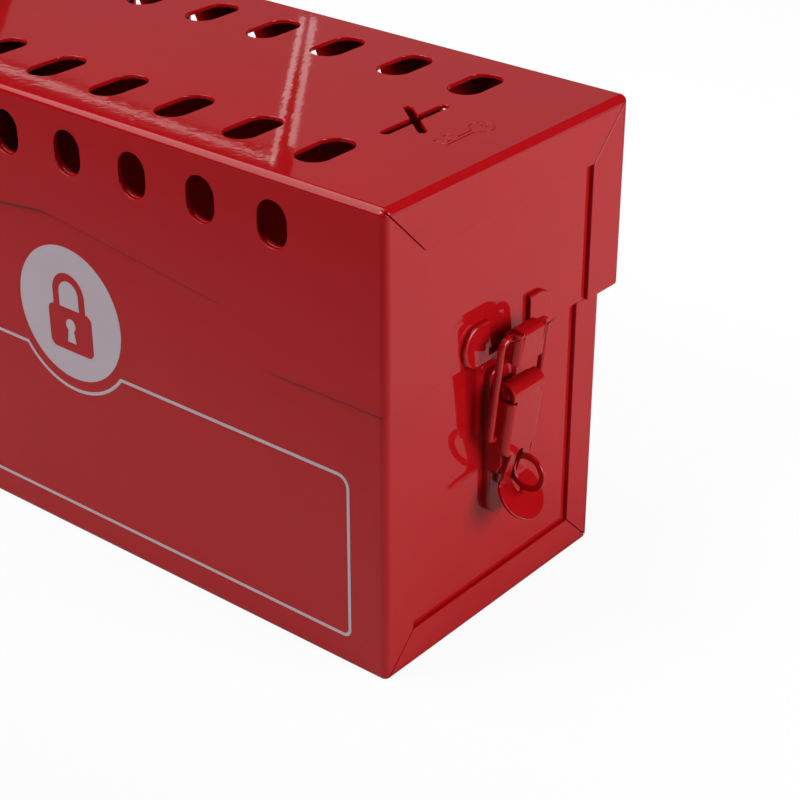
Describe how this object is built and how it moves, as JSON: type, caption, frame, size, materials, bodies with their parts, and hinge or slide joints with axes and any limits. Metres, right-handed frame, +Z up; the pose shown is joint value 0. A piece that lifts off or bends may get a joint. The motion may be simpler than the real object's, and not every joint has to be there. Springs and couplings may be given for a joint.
{
  "type": "group lockout box",
  "caption": "Folded steel box for keys with a lift-off lid, paired padlock slots along its long edges, a cross-shaped key slot, and a draw latch at each end.",
  "frame": {"origin": "on the ground, under the middle of the lid", "axes": "+X to the end with the key slot, +Y to the back, +Z up; the printed front faces -Y"},
  "size_m": [0.3398, 0.1276, 0.1714],
  "materials": {
    "red_paint": "glossy red powder coat with fine orange peel",
    "white_print": "thin screen print, pale grey-pink"
  },
  "bodies": {
    "box": {"body_shell": "red_paint", "front_print": "white_print", "body_end_panel_right": "red_paint", "body_end_panel_left": "red_paint", "latch_base_right": "red_paint", "latch_base_left": "red_paint", "padlock_eye_right": "red_paint", "padlock_eye_left": "red_paint", "lever_pin_right": "red_paint", "lever_pin_left": "red_paint"},
    "lid": {"lid_shell": "red_paint", "lid_end_panel_right": "red_paint", "lid_end_panel_left": "red_paint", "keeper_right": "red_paint", "keeper_left": "red_paint"},
    "lever_right": {"lever_right": "red_paint"},
    "bail_right": {"bail_right": "red_paint"},
    "claw_right": {"claw_right": "red_paint"},
    "lever_left": {"lever_left": "red_paint"},
    "bail_left": {"bail_left": "red_paint"},
    "claw_left": {"claw_left": "red_paint"}
  },
  "joints": [
    {"name": "lid_lift", "type": "slide", "parent": "box", "child": "lid", "axis": [0, 0, 1], "range_m": [0, 0.085]},
    {"name": "lever_swing_right", "type": "hinge", "parent": "box", "child": "lever_right", "pos_m": [0.15876, -0.00155, 0.0898], "axis": [0, -1, 0], "range_deg": [0, 110]},
    {"name": "bail_swing_right", "type": "hinge", "parent": "lever_right", "child": "bail_right", "pos_m": [0.1557, -0.00155, 0.0734], "axis": [0, -1, 0], "range_deg": [-81.4, 0]},
    {"name": "claw_swing_right", "type": "hinge", "parent": "bail_right", "child": "claw_right", "pos_m": [0.1599, -0.00155, 0.1109], "axis": [0, -1, 0], "range_deg": [-10, 80]},
    {"name": "lever_swing_left", "type": "hinge", "parent": "box", "child": "lever_left", "pos_m": [-0.15876, -0.00155, 0.0898], "axis": [0, 1, 0], "range_deg": [0, 110]},
    {"name": "bail_swing_left", "type": "hinge", "parent": "lever_left", "child": "bail_left", "pos_m": [-0.1557, -0.00155, 0.0734], "axis": [0, 1, 0], "range_deg": [-81.4, 0]},
    {"name": "claw_swing_left", "type": "hinge", "parent": "bail_left", "child": "claw_left", "pos_m": [-0.1599, -0.00155, 0.1109], "axis": [0, 1, 0], "range_deg": [-10, 80]}
  ],
  "couplings": [
    {"joint": "bail_swing_right", "follows": "lever_swing_right", "ratio": -0.74},
    {"joint": "bail_swing_left", "follows": "lever_swing_left", "ratio": -0.74}
  ]
}
